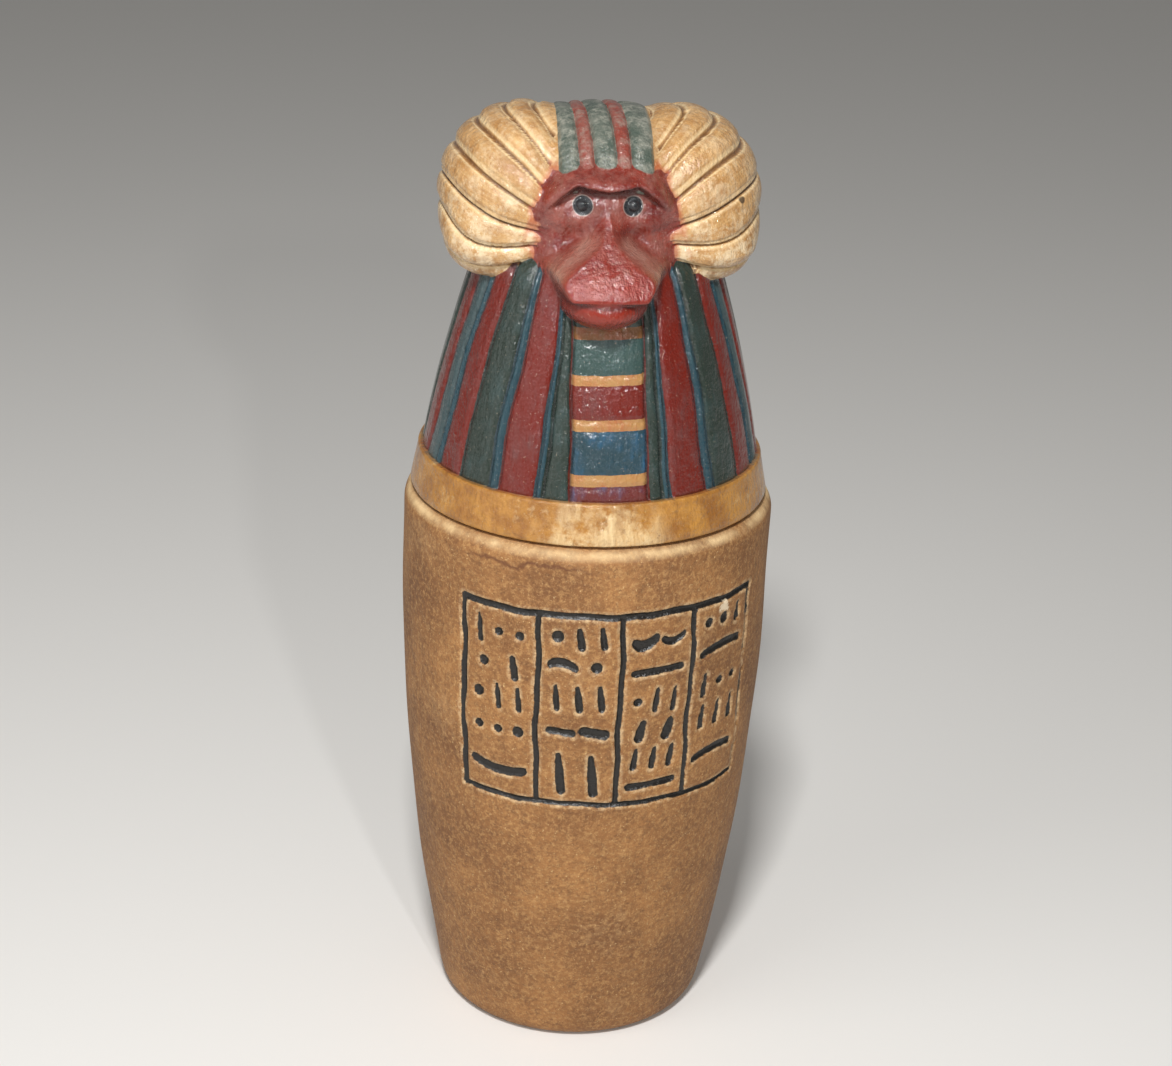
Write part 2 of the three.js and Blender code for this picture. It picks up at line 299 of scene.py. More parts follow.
# %% [markdown]
# ## The face
#
# The face is a blunt shield between the two masses, with a heavy brow over sunk sockets, cheek pads,
# a narrow bridge and a long muzzle. The muzzle's top is a flat triangle, its sides fall back hollow to
# the cheeks, and the lower jaw is a half moon tucked under the upper lip.

# %% The snout, the jaw and the whole face
H = HEAD_MIDDLE
EYE_SIDE, EYE_UP = 6.3, 3.1
LIP_DROP = 17.6


def kite_half(drop):
    """Half the breadth of the muzzle's flat top, at a drop below the eyes: a straight flare under the
    bridge, a faster one lower down, and a slight draw-in at the lip."""
    flare = 0.2 + 0.18 * np.maximum(drop, 0) + 1.16 * (drop - 6.4 + np.sqrt((drop - 6.4) ** 2 + 0.8)) / 2
    return join(flare, 11.3 + 0 * drop, 3.0) - 2.6 * step(drop, 13.5, 19.5)


def snout(p):
    """The muzzle as a depth for each height and breadth. The top runs forward as it drops, then turns
    down at the lip. It is flat across a kite that is narrow at the bridge and wide at the lip, and
    falls back from the kite's edges. The lip's underside is cut level."""
    side, y, z = np.abs(p[0]), p[1], p[2]
    drop = H + 1.6 - z
    ridge = join(26.7 + 1.19 * np.maximum(drop, -2), 46.0 + 0 * drop, 8.0) - 0.012 * side**2
    kite = kite_half(drop)
    steep = 1.55 + 0.26 * np.clip(drop - 4, 0, 12) + 1.5 * step(drop, 12, 17)
    soft = 0.3 + 0.17 * np.clip(drop - 7, 0, 8)
    beyond = np.sqrt(np.maximum(side - kite, 0) ** 2 + soft**2) - soft
    front = ridge - steep * beyond
    field = -(front + y) / np.sqrt(2.4 + steep**2)
    lip = plane((side, y, z), (0, 0, H - LIP_DROP), (0, 0, -1))
    roof = z - (H + 2.0)
    return keep(keep(keep(field, lip, 1.6), roof, 3), y + 14, 2)


def arched(q):
    """The same point with the brow's arch taken out: a slight dip at the middle, a fall at the temples."""
    side, y, z = q
    return (side, y, z + 3.0 * (side / 14) ** 4 + 0.15 * np.exp(-((side / 3) ** 2)))


def brow(q):
    """A visor over the eyes, its front curved in plan like the forehead above it."""
    return ball(arched(q), (0, -12.4, H + 7.6), (15.6, 14.6, 2.8), 2.1)


def socket(q):
    """The crease under the visor and the shallow hollow round the eye."""
    level = arched(q)
    inner = bar(level, (0, -27.9, H + 5.5), (7.5, -27.0, H + 5.9), 1.6, 2.0)
    outer = bar(level, (7.5, -27.0, H + 5.9), (12.2, -24.6, H + 5.0), 2.0, 0.6)
    hollow = ball(q, (7.0, -36.8, H + 2.8), (8.4, 11.4, 4.4))
    return join(join(inner, outer, 1.0), hollow, 1.5)


def face(p):
    """Masses joined in the order a modeller adds them: shield, forehead, jowls, brow, sockets, nose
    root, cheek pads, snout, jaw and eyes."""
    q = (np.abs(p[0]), p[1], p[2])
    form = ball(q, (0, -11, H - 3), (19.6, 15.4, 17), 2.6)
    form = join(form, ball(q, (0, -14, H + 4), (16.0, 12.6, 8.4), 2.3), 3)
    form = join(form, bar(q, (10.2, -19, H - 13.2), (7.6, -27, H - 16.6), 8.2, 5.6), 4)
    form = join(form, brow(q), 4.2)
    form = -join(-form, socket(q), 1.4)
    form = join(form, ball(q, (0, -22.4, H + 2.2), (5.0, 4.1, 3.2), 2.6), 1.5)
    form = join(form, bar(q, (7.2, -25.2, H - 2.4), (15.8, -20.4, H + 0.2), 1.1, 2.6), 2.4)
    form = -join(-form, bar(q, (8.2, -30.4, H - 5.4), (12.6, -31.6, H - 12.5), 4.9, 4.8), 2.4)
    form = join(form, bar(q, (15.0, -19.0, H - 3.5), (16.0, -17.0, H - 8.5), 3.2, 2.6), 3.0)
    form = join(form, snout(p), 2.6)
    form = join(form, ball(p, (-0.5, -31.0, H - 19.6), (10.8, 14.2, 6.4)), 0.4)
    eye = bar(q, (6.1, -22.6, H + EYE_UP), (EYE_SIDE, -24.9, H + EYE_UP), 2.5, 1.6)
    return join(form, eye, 0.25)


def lid_form(p):
    """Everything above the band."""
    hair = join(wig(p), join(ruff(p), crown(p), 2.2), 0.6)
    return join(hair, face(p), 1.0)


print(f"eyes {2 * EYE_SIDE:.1f} mm apart, {H + EYE_UP:.1f} mm up; lip at {H - LIP_DROP:.1f} mm")

# %% [markdown]
# ## From a field to a skin
#
# A surface on a grid needs one point for each pair of parameters. Rays do that: level rays from the
# axis meet the wig, and rays that fan out from the middle of the head meet everything above. Each ray
# starts outside and walks in by a share of the distance that the field promises, so it stops at the
# outermost surface, under the chin too.

# %% Cast the lid's skin
COLUMNS = 400


def column_azimuths(count):
    """Evenly spaced, then drawn towards the front by a sine, so the face and chest get finer columns."""
    u = np.arange(count) / count * 2 * np.pi
    return u - 0.45 * np.sin(u)


def cast(heights, elevations, azimuths, rounds=60):
    """Walks every ray in to the surface. Returns points in an array of rows by columns by 3."""
    z0, az = np.meshgrid(heights, azimuths, indexing="ij")
    el = np.meshgrid(np.radians(elevations), azimuths, indexing="ij")[0]
    aim = np.stack([np.sin(az) * np.cos(el), -np.cos(az) * np.cos(el), np.sin(el)])
    t = np.full(az.shape, 58.0)
    for _ in range(rounds):
        gap = lid_form((aim[0] * t, aim[1] * t, z0 + aim[2] * t))
        t -= 0.7 * np.clip(gap, -0.5, 6)
    return np.stack([aim[0] * t, aim[1] * t, z0 + aim[2] * t], axis=-1)


azimuths = column_azimuths(COLUMNS)
level_heights = np.linspace(BAND_TOP + 0.4, H - 29.2, 46)
fan = np.concatenate([np.linspace(-38, 16, 108), np.linspace(16.6, 62, 62), np.linspace(64, 88.5, 14)])
ray_heights = np.concatenate([level_heights, np.full(len(fan), H)])
ray_elevations = np.concatenate([np.zeros(len(level_heights)), fan])
head_points = cast(ray_heights, ray_elevations, azimuths)
crown_tip = cast([H], [90], [0.0])[0, 0]
print("lid rays:", head_points.shape[:2], "top at", round(float(head_points[..., 2].max()), 2), "mm")

# %% [markdown]
# ## The plug, the band and the mesh
#
# Under the wig the stopper is plain turned work: a plug that drops into the bore, a ledge that sits
# on the rim and an ochre band. A lathe profile would do for it alone, but its rings are given the
# wig's columns, so that both join in one closed mesh with no seam to hide.

# %% The plug and the band
def foot_profile():
    """Rings from the plug's underside to the top of the band, as radius and height."""
    low = SEAT - PLUG_DEPTH
    plug = [(0.0, low), (20.0, low), (38.4, low), (39.2, low + 0.3), (39.5, low + 1.0), (39.5, SEAT)]
    band = [(43.0, SEAT), (47.2, SEAT), (47.8, SEAT + 0.25), (48.0, SEAT + 0.8)]
    side = [(48.0 - 1.9 * t, SEAT + 0.8 + t * (BAND_TOP - SEAT - 1.6)) for t in (0.2, 0.4, 0.6, 0.8, 0.95)]
    lip = [(46.15, BAND_TOP - 0.6), (45.9, BAND_TOP - 0.15), (45.4, BAND_TOP), (44.5, BAND_TOP + 0.05)]
    return np.array(plug + band + side + lip)


def rings(profile, azimuths):
    """Turns a profile of radius and height about the axis."""
    r, z = profile[:, :1], profile[:, 1:]
    return np.stack([r * np.sin(azimuths), -r * np.cos(azimuths), z + 0 * azimuths], axis=-1)


def grid_faces(rows, columns):
    """Quads of a grid that closes round its columns: each point with the next ones along and up."""
    r, c = np.meshgrid(np.arange(rows - 1), np.arange(columns), indexing="ij")
    n = (c + 1) % columns
    return np.stack([r * columns + c, r * columns + n, (r + 1) * columns + n, (r + 1) * columns + c],
                    axis=-1).reshape(-1, 4)


def closed_mesh(name, grid, first_tip, last_tip):
    """A mesh of quads from rows of points in millimetres, closed by a fan of triangles at each end."""
    rows, columns = grid.shape[:2]
    points = np.concatenate([grid.reshape(-1, 3), [first_tip], [last_tip]]) * MM
    quads = grid_faces(rows, columns)
    c = np.arange(columns)
    n = (c + 1) % columns
    first = np.stack([n, c, np.full(columns, rows * columns)], axis=-1)
    top = (rows - 1) * columns
    last = np.stack([top + c, top + n, np.full(columns, rows * columns + 1)], axis=-1)
    mesh = bpy.data.meshes.new(name)
    loops = np.concatenate([quads.ravel(), first.ravel(), last.ravel()])
    sizes = np.concatenate([np.full(len(quads), 4), np.full(2 * columns, 3)])
    mesh.vertices.add(len(points))
    mesh.vertices.foreach_set("co", points.ravel())
    mesh.loops.add(len(loops))
    mesh.loops.foreach_set("vertex_index", loops)
    mesh.polygons.add(len(sizes))
    mesh.polygons.foreach_set("loop_start", np.concatenate([[0], np.cumsum(sizes)[:-1]]))
    mesh.polygons.foreach_set("loop_total", sizes)
    mesh.polygons.foreach_set("use_smooth", np.ones(len(sizes), bool))
    mesh.update(calc_edges=True)
    mesh.validate()
    piece = bpy.data.objects.new(name, mesh)
    bpy.context.scene.collection.objects.link(piece)
    print(f"{name}: {int((sizes - 2).sum())} triangles")
    return piece


foot = rings(foot_profile()[1:], azimuths)
lid_grid = np.concatenate([foot, head_points])
lid = closed_mesh("painted_lid", lid_grid, (0, 0, SEAT - PLUG_DEPTH), crown_tip)
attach(lid, "root")
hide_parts("baboon_head_lid")

# %% [markdown]
# ## Where the lid's paint goes
#
# The painter follows the modelled edges: each reed, lock and band has its own colour, and the face is
# red up to the line where it meets the hair. So every point carries its place in each pattern, and
# which of the masses it lies on, as the difference between their fields: the border is where it is 0.

# %% Mark the lid's points
def mark(piece, name, values):
    """Stores one number for each point of a mesh."""
    layer = piece.data.attributes.new(name, "FLOAT", "POINT")
    layer.data.foreach_set("value", np.asarray(values, dtype=np.float32))


def bell(distance, width):
    """1 at no distance, falling to a third at `width`."""
    return np.exp(-((distance / width) ** 2))


def lid_marks(x, y, z):
    """The patterns' places as shares of their range, the borders as differences of fields, and masks
    for the eyes, the painted highlight beside the muzzle's flat top, the painted shade in the creases of
    the brow and mouth, and all the cut lines."""
    p = (x, y, z)
    q = (np.abs(x), y, z)
    hair, locks, bands, skin = wig(p), ruff(p), crown(p), face(p)
    angle = comb_angle(x, y, z)[0]
    above = step(z, BAND_TOP + 4, BAND_TOP + 6)
    # beside_kite and on_flank place the painted highlight on the muzzle's flanks; under_brow and in_mouth
    # place the painted shade in the brow's crease and the mouth line.
    beside_kite = bell(q[0] - kite_half(H + 1.6 - z) - 2.4, 1.5)
    on_flank = step(-z, 3 - H, 6 - H) * (1 - step(-z, 13 - H, 18 - H)) * (y < -20)
    under_brow = bell(np.maximum(socket(q), 0), 0.5) * step(z, H + 4.6, H + 6.4)
    in_mouth = bell(z - H + LIP_DROP + 0.1, 0.55) * (y < -32)
    return {
        "reed": reed_angle(x, y, z) / 180,
        "strip": (z - 0.02 * x - BAND_TOP) / 60,
        "over_crown": (crown_place(x, y) + 14) / 28,
        "is_skin": np.clip(np.minimum(hair, np.minimum(locks, bands)) - skin, -3, 3) - 3 * (1 - above),
        "is_ruff": np.clip(hair - np.minimum(locks, bands), -3, 3) - 3 * (1 - above),
        "is_crown": np.where(bands < locks + 2, 11.9 - np.abs(crown_place(x, y) + 0.4), -3),
        "in_eye": 2.5 - np.hypot(q[0] - EYE_SIDE, z - H - EYE_UP) - 9 * (y > -20),
        "lock": angle / 360 + 0.5,
        "flank_highlight": beside_kite * on_flank,
        "crease_shade": np.maximum(under_brow, in_mouth) * (y < -19),
        "hollow": reed_relief(x, y, z) * (hair < 1) + lock_relief(x, y, z) * (locks < 1),
    }


lid_points = np.empty(len(lid.data.vertices) * 3)
lid.data.vertices.foreach_get("co", lid_points)
lid_xyz = lid_points.reshape(-1, 3).T / MM
for name, values in lid_marks(*lid_xyz).items():
    mark(lid, name, values)
print("lid attributes:", len(lid.data.attributes), "on", lid_xyz.shape[1], "points")

# %% [markdown]
# ## The jar
#
# The jar is one wall: up the outside, over the shoulder and the rim, down the bore and across the
# floor. On the front is a panel of four columns. Its frame, dividers and signs were pressed into the
# casting. The signs here are rows of plain strokes in the same places, which spell nothing.

# %% The jar's wall and its panel
WALL, FLOOR, BORE = 7.0, 9.0, 41.0
FOOT_FLAT, FOOT_ROUND = 32, 6.0
LIP_ROUND, MOUTH_ROUND, FLOOR_ROUND = 5.0, 1.2, 8.0
JAR_COLUMNS = 336
PANEL_MIDDLE = 6.4
PANEL_LEFT, PANEL_RIGHT = -43.3, 55.8
DIVIDERS = (-18.0, 7.5, 30.9)
PANEL_TOP, PANEL_FOOT = 137.3, 79.2


def jar_radius(z):
    """The outside: full at the shoulder, drawn in towards the foot by the square of the depth."""
    return SHOULDER - 13 * np.maximum(0, 1 - z / 130) ** 2


def jar_profile():
    """Radius and height from the outer base round to the inner floor: a parabola at the foot, the
    side, and quarter circles at the lip, the mouth and the floor. Also how many rings are outside."""
    t = np.linspace(0, 1, 8)
    swept = FOOT_FLAT * (1 - t) ** 2 + 2 * t * (1 - t) * jar_radius(0) + t**2 * jar_radius(FOOT_ROUND)
    foot = np.stack([swept, FOOT_ROUND * t**2], -1)
    z = np.concatenate([np.linspace(7.5, 76.5, 40), np.linspace(77, 140, 132), np.linspace(141, 149, 8)])
    side = np.stack([jar_radius(z), z], -1)
    a = np.radians(np.linspace(8, 90, 12))
    lip = np.stack([SHOULDER - LIP_ROUND + LIP_ROUND * np.cos(a),
                    RIM - LIP_ROUND + LIP_ROUND * np.sin(a)], -1)
    top = np.array([(44.0, RIM), (43.0, RIM)])
    b = np.radians(np.linspace(90, 180, 5))
    rim = np.stack([BORE + MOUTH_ROUND + MOUTH_ROUND * np.cos(b),
                    RIM - MOUTH_ROUND + MOUTH_ROUND * np.sin(b)], -1)
    down = np.linspace(151, FLOOR + FLOOR_ROUND, 26)
    inside = np.stack([np.minimum(BORE, jar_radius(down) - WALL), down], -1)
    c = np.radians(np.linspace(12, 90, 7))
    heel = inside[-1, 0] - FLOOR_ROUND
    bowl = np.stack([heel + FLOOR_ROUND * np.cos(c), FLOOR + FLOOR_ROUND - FLOOR_ROUND * np.sin(c)], -1)
    start = np.array([(10.0, 0.0), (24.0, 0.0)])
    end = np.array([(18.0, FLOOR), (6.0, FLOOR)])
    outside = np.concatenate([start, foot, side, lip])
    return np.concatenate([outside, top, rim, inside, bowl, end]), len(outside)


def segment(s, z, start, end):
    """The distance from points on the unrolled side to a straight stroke."""
    ax, az = end[0] - start[0], end[1] - start[1]
    t = np.clip(((s - start[0]) * ax + (z - start[1]) * az) / (ax * ax + az * az + 1e-9), 0, 1)
    return np.hypot(s - start[0] - t * ax, z - start[1] - t * az)


def panel_cut(azimuth, z):
    """How far inside a cut line a point lies, in millimetres: above 0 is cut."""
    s = np.radians(azimuth) * SHOULDER
    left, right = np.radians(PANEL_LEFT) * SHOULDER, np.radians(PANEL_RIGHT) * SHOULDER
    wave = 0.22 * np.sin(z / 5.1) + 0.15 * np.sin(z / 2.3 + 1)
    ripple = 0.2 * np.sin(s / 4.7) + 0.12 * np.sin(s / 1.9)
    top, foot = PANEL_TOP - 0.9, PANEL_FOOT + 1.2 + 0.8 * (1 - (s - left) / (right - left))
    within_s = np.minimum(s - left, right - s)
    within_z = np.minimum(z - foot, top - z)
    cut = 1.0 - np.hypot(z - top + ripple, np.minimum(within_s, 0))
    cut = np.maximum(cut, 0.8 - np.hypot(z - foot + ripple, np.minimum(within_s, 0)))
    cut = np.maximum(cut, 0.9 - np.hypot(s - left + wave, np.minimum(within_z, 0)))
    broken = 0.5 * (np.sin(z / 3.7 + 2) > 0.75)
    cut = np.maximum(cut, 0.5 - broken - np.hypot(s - right + wave, np.minimum(within_z, 0)))
    for place in DIVIDERS:
        line = np.radians(place) * SHOULDER
        cut = np.maximum(cut, 0.82 - np.hypot(s - line + wave, np.minimum(within_z, 0)))
    return np.maximum(cut, strokes_cut(s, z))


KINDS = {1: ["bow", "level"], 2: ["dot", "upright", "bow", "level"], 3: ["dot", "upright", "upright"]}
LEANING = ["lean", "lean", "dot"]


def strokes_cut(s, z):
    """Rows of plain strokes, one to a cell and none touching: dots, bars upright, level or leaning that
    thin towards one end, and shallow bows, which are level bars bent by a parabola."""
    rng = np.random.default_rng(5)
    edges = np.radians([PANEL_LEFT, *DIVIDERS, PANEL_RIGHT]) * SHOULDER
    cut = np.full(np.broadcast(s, z).shape, -9.0)
    for left, right in zip(edges[:-1], edges[1:]):
        level, base = PANEL_TOP - 3.4, PANEL_FOOT + 4.2
        side = rng.choice([-1, 1])
        while level - base > 5.5:
            tall = rng.uniform(6.6, 9.8)
            tall = level - base if level - base - tall < 6 else tall
            room = right - left - 4.4
            cells = int(rng.choice([1, 2, 2, 3]))
            kinds = LEANING if cells == 2 and rng.random() < 0.4 else KINDS[cells]
            for i in range(cells):
                mid = left + 2.2 + room * (i + 0.5) / cells
                centre = level - tall / 2 + rng.uniform(-0.3, 0.3)
                wide, high = room / cells * 0.5 - 0.9, tall * 0.5 - 0.6
                thick = rng.uniform(1.1, 1.7) if cells < 3 else rng.uniform(0.8, 1.1)
                kind = rng.choice(kinds)
                if kind == "dot":
                    cut = np.maximum(cut, rng.uniform(1.2, 1.8) - np.hypot(s - mid, z - centre))
                    continue
                sag = rng.choice([-1.2, 1.1]) if kind == "bow" else 0.0
                reach = {"upright": (0.15, high), "lean": (0.62 * wide, high)}.get(kind, (wide, 0.25))
                u = (s - mid) / max(wide, 1.0)
                lifted = z - sag * (1 - np.minimum(u * u, 1))
                run, rise = side * (reach[0] - thick / 2), reach[1] - thick / 2
                start, end = (mid - run, centre - rise), (mid + run, centre + rise)
                taper = 1 - 0.45 * np.clip((z - centre) / high, 0, 1) * (kind != "bow")
                cut = np.maximum(cut, thick * taper - segment(s, lifted, start, end))
            level -= tall + 1.0
    return cut


def jar_columns(count):
    """Columns drawn towards the panel's middle by a sine."""
    u = np.arange(count) / count * 2 * np.pi
    return u - 0.42 * np.sin(u) + math.radians(PANEL_MIDDLE)


profile, outer_count = jar_profile()
jar_az = jar_columns(JAR_COLUMNS)
jar_grid = rings(profile, jar_az)
signed_az = np.degrees(np.arctan2(np.sin(jar_az), np.cos(jar_az)))
az_grid, z_grid = np.broadcast_arrays(signed_az[None, :], profile[:, 1:2])
outside = np.arange(len(profile))[:, None] < outer_count
cut = np.where(outside, panel_cut(az_grid, z_grid), -9.0)
rough = (0.1 * np.sin(z_grid / 7 + 2 * np.sin(np.radians(az_grid) * 3)) +
         0.07 * np.sin(np.radians(az_grid) * 11 + z_grid / 9) - 0.17)
depth = 0.9 * step(cut, -0.15, 0.45) - np.where(outside, rough * (z_grid > 4), 0)
radial = np.stack([np.sin(jar_az), -np.cos(jar_az), 0 * jar_az], -1)
jar_grid = jar_grid - depth[..., None] * radial[None]
jar = closed_mesh("stone_jar", jar_grid, (0, 0, 0), (0, 0, FLOOR))
mark(jar, "cut", np.append(cut.ravel(), [-9, -9]))
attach(jar, "root")
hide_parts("jar")
print("cut share of the grid:", round(float((cut > 0).mean()), 3))

# %% [markdown]
# ## Finishes the two castings share
#
# Both castings are handled, brushed and dusty in the same ways, so those effects are groups used by
# both materials: a pale wear in broad patches, a fine speckle, brush streaks and a grain for the bump.
# Each gives only a mask or a height; the colours stay in the materials.

# %% A small kit for wiring nodes, and the shared groups
class Wiring:
    """Adds nodes to a tree and joins them by socket name or place."""

    def __init__(self, tree):
        self.tree = tree

    def add(self, kind, links=None, **settings):
        """A new node with its settings, and each input set to a value or joined to a socket."""
        node = self.tree.nodes.new(kind)
        for key, value in settings.items():
            setattr(node, key, value)
        for socket, value in (links or {}).items():
            if isinstance(value, bpy.types.NodeSocket):
                self.tree.links.new(value, node.inputs[socket])
            else:
                node.inputs[socket].default_value = value
        return node

    def noise(self, vector, scale, detail=3.0, rough=0.5):
        """Cloudy noise about 0.5, with a lump every 1/scale metres."""
        return self.add("ShaderNodeTexNoise", {"Vector": vector, "Scale": scale, "Detail": detail,
                        "Roughness": rough}).outputs["Fac"]

    def ramp(self, value, low, high, start=0.0, end=1.0):
        """A straight rise from start to end as the value goes from low to high, held beyond."""
        return self.add("ShaderNodeMapRange", {"Value": value, "From Min": low, "From Max": high,
                        "To Min": start, "To Max": end}).outputs["Result"]

    def math(self, kind, a, b=0.0):
        """One sum on two numbers, by Blender's name for it."""
        return self.add("ShaderNodeMath", {0: a, 1: b}, operation=kind).outputs[0]

    def product(self, a, b):
        """Two numbers multiplied: a mask within a mask, or a mask at part strength."""
        return self.math("MULTIPLY", a, b)

    def nudged(self, value, push, share):
        """A value plus a share of another, such as a wobble that makes a border look brushed."""
        return self.math("ADD", value, self.product(push, share))

    def distance(self, place, centre):
        """How far a point is from a centre, in metres."""
        return self.add("ShaderNodeVectorMath", {0: place, 1: centre}, operation="DISTANCE").outputs["Value"]

    def split(self, vector):
        """A vector's three parts."""
        return self.add("ShaderNodeSeparateXYZ", {0: vector}).outputs

    def redness(self, colour):
        """1 where a painted colour is one of the reds, by its red channel."""
        return self.ramp(self.add("ShaderNodeSeparateColor", {0: colour}).outputs[0], 0.12, 0.2)

    def mix(self, mask, a, b):
        """Colour a where the mask is 0, colour b where it is 1. Sockets 0, 6 and 7 are its colour ones."""
        return self.add("ShaderNodeMix", {0: mask, 6: a, 7: b}, data_type="RGBA").outputs[2]

    def field(self, name):
        """A number stored on the mesh's points."""
        return self.add("ShaderNodeAttribute", attribute_name=name).outputs["Fac"]

    def bands(self, value, edges, colours):
        """Flat colours between edges."""
        node = self.add("ShaderNodeValToRGB", {"Fac": value})
        ramp = node.color_ramp
        ramp.interpolation = "CONSTANT"
        ramp.elements[0].position, ramp.elements[0].color = 0, colours[0]
        ramp.elements.remove(ramp.elements[1])
        for place, colour in zip(edges, colours[1:]):
            ramp.elements.new(place).color = colour
        return node.outputs["Color"]


def shared_group(name, output, build):
    """A node group on Object coordinates with one named output."""
    tree = bpy.data.node_groups.new(name, "ShaderNodeTree")
    tree.interface.new_socket(output, in_out="OUTPUT", socket_type="NodeSocketFloat")
    w = Wiring(tree)
    place = w.add("ShaderNodeTexCoord").outputs["Object"]
    tree.links.new(build(w, place), w.add("NodeGroupOutput").inputs[0])
    return tree


def worn_patches(w, place):
    """Broad islands with a ragged edge: a coarse noise plus half a fine one, cut at a level."""
    broad = w.noise(place, 38, 5, 0.65)
    fine = w.noise(place, 420, 4, 0.7)
    return w.ramp(w.math("ADD", broad, w.math("MULTIPLY", fine, 0.55)), 0.86, 0.98)


def fine_speckle(w, place):
    """Scattered dots under a millimetre: the peaks of a very fine noise."""
    return w.ramp(w.noise(place, 1500, 2, 0.6), 0.66, 0.74)


def brush_streaks(w, place):
    """Upright hairs of paint: a fine noise drawn out eight times in height."""
    long_way = w.add("ShaderNodeMapping", {"Vector": place, "Scale": (1, 1, 0.12)}).outputs[0]
    return w.ramp(w.noise(long_way, 520, 4, 0.6), 0.35, 0.68)


def cast_grain(w, place):
    """The casting's height: seven parts of soft lumps to three of sand."""
    lumps = w.noise(place, 260, 3, 0.55)
    sand = w.noise(place, 1300, 3, 0.6)
    return w.math("ADD", w.math("MULTIPLY", lumps, 0.7), w.math("MULTIPLY", sand, 0.3))


GROUPS = {name: shared_group(name, output, build) for name, output, build in (
    ("worn_patches", "Mask", worn_patches), ("fine_speckle", "Mask", fine_speckle),
    ("brush_streaks", "Mask", brush_streaks), ("cast_grain", "Height", cast_grain))}


def srgb(r, g, b):
    """An sRGB colour as linear light: the square-root-like curve undone."""
    c = np.array([r, g, b]) / 255
    linear = np.where(c <= 0.04045, c / 12.92, ((c + 0.055) / 1.055) ** 2.4)
    return (*map(float, linear), 1.0)


def material(name, group_names):
    """A new material with the shared groups it needs, and its shader to plug into."""
    m = bpy.data.materials.new(name)
    m.use_nodes = True
    w = Wiring(m.node_tree)
    use = {key: w.add("ShaderNodeGroup", node_tree=GROUPS[key]).outputs[0] for key in group_names}
    return m, w, use, m.node_tree.nodes["Principled BSDF"]


print("shared groups:", sorted(GROUPS))

# %% [markdown]
# ## The sandy jar
#
# The casting was tinted ochre and rubbed back, so it is matte and mottled: browner in broad clouds,
# paler in a fine speckle, and pale along the shoulder's edge, where rubbed wear and a painted highlight
# meet. Black was wiped into the cuts; it has a slight shine, and a pale halo of bare casting is left round
# each.

# %% The jar's ground
TIDE_HEIGHT = 0.149
CHIP_TURN, CHIP_HEIGHT = math.radians(43), 0.1335

m, w, use, shader = material("jar_stone", ("worn_patches", "fine_speckle", "cast_grain"))
place = w.add("ShaderNodeTexCoord").outputs["Object"]
clouds = w.ramp(w.noise(place, 42, 6, 0.6), 0.36, 0.64)
tone = w.mix(clouds, srgb(156, 108, 60), srgb(118, 76, 39))
dirt = w.ramp(w.noise(place, 240, 8, 0.85), 0.49, 0.62, 0, 0.65)
tone = w.mix(dirt, tone, srgb(108, 70, 38))
sand = w.ramp(w.noise(place, 760, 5, 0.85), 0.48, 0.62, 0, 0.48)
tone = w.mix(sand, tone, srgb(198, 154, 98))
pits = w.ramp(w.noise(place, 980, 4, 0.8), 0.53, 0.64, 0, 0.5)
tone = w.mix(pits, tone, srgb(96, 62, 34))
tone = w.mix(w.product(use["fine_speckle"], 0.7), tone, srgb(216, 182, 130))
tone = w.mix(w.product(use["worn_patches"], 0.16), tone, srgb(206, 166, 116))
print("jar ground nodes:", len(m.node_tree.nodes))

# %% [markdown]
# ## The jar's wear, its painted highlight and its black cuts
#
# The shoulder's rounded edge is pale from rubbing and from a painted highlight, damp left a thin brown
# tide line below it on the left, and a chip shows the casting beside the panel. Each is a mask on height or
# distance, roughened by noise.
# The cuts use the depth that was stored on the points, so the black ends just inside each edge.

# %% The jar's wear, cuts and shader
across, toward, height = w.split(place)
# Painted highlight and wear: a pale band round the shoulder's rounded edge, where it catches the light and
# is rubbed.
edge_up = w.ramp(height, (RIM - 3.4) * MM, (RIM - 1.8) * MM)
edge_down = w.ramp(height, (RIM - 1.4) * MM, (RIM - 0.2) * MM, 1, 0)
rubbed = w.product(w.product(edge_up, edge_down), w.ramp(w.noise(place, 90, 4, 0.6), 0.3, 0.6))
tone = w.mix(w.product(rubbed, 0.8), tone, srgb(228, 196, 146))

tide = w.math("ADD", height, w.ramp(w.noise(place, 75, 4, 0.6), 0.3, 0.7, -0.0022, 0.0022))
tide = w.ramp(w.math("ABSOLUTE", w.math("SUBTRACT", tide, TIDE_HEIGHT)), 0.0001, 0.0007, 1, 0)
along = w.product(w.ramp(across, -0.036, -0.03), w.ramp(across, -0.008, 0.002, 1, 0))
tide = w.product(tide, w.product(along, w.ramp(toward, -0.02, -0.03)))
tone = w.mix(w.product(tide, 0.75), tone, srgb(92, 50, 24))

cut_depth = w.math("ADD", w.field("cut"), w.ramp(w.noise(place, 700, 3, 0.6), 0, 1, -0.28, 0.28))
halo = w.product(w.ramp(cut_depth, -1.1, -0.1), w.ramp(w.noise(place, 420, 5, 0.8), 0.42, 0.62))
tone = w.mix(w.product(halo, 0.75), tone, srgb(222, 192, 148))
filled = w.ramp(cut_depth, -0.08, 0.12)
tone = w.mix(filled, tone, srgb(25, 22, 19))

chip_at = (SHOULDER * math.sin(CHIP_TURN) * MM, -SHOULDER * math.cos(CHIP_TURN) * MM, CHIP_HEIGHT)
ragged = w.ramp(w.noise(place, 420, 5, 0.75), 0.3, 0.7, -0.0012, 0.0012)
chip = w.math("ADD", w.distance(place, chip_at), ragged)
tone = w.mix(w.ramp(chip, 0.0012, 0.0018, 0.85, 0), tone, srgb(224, 206, 176))

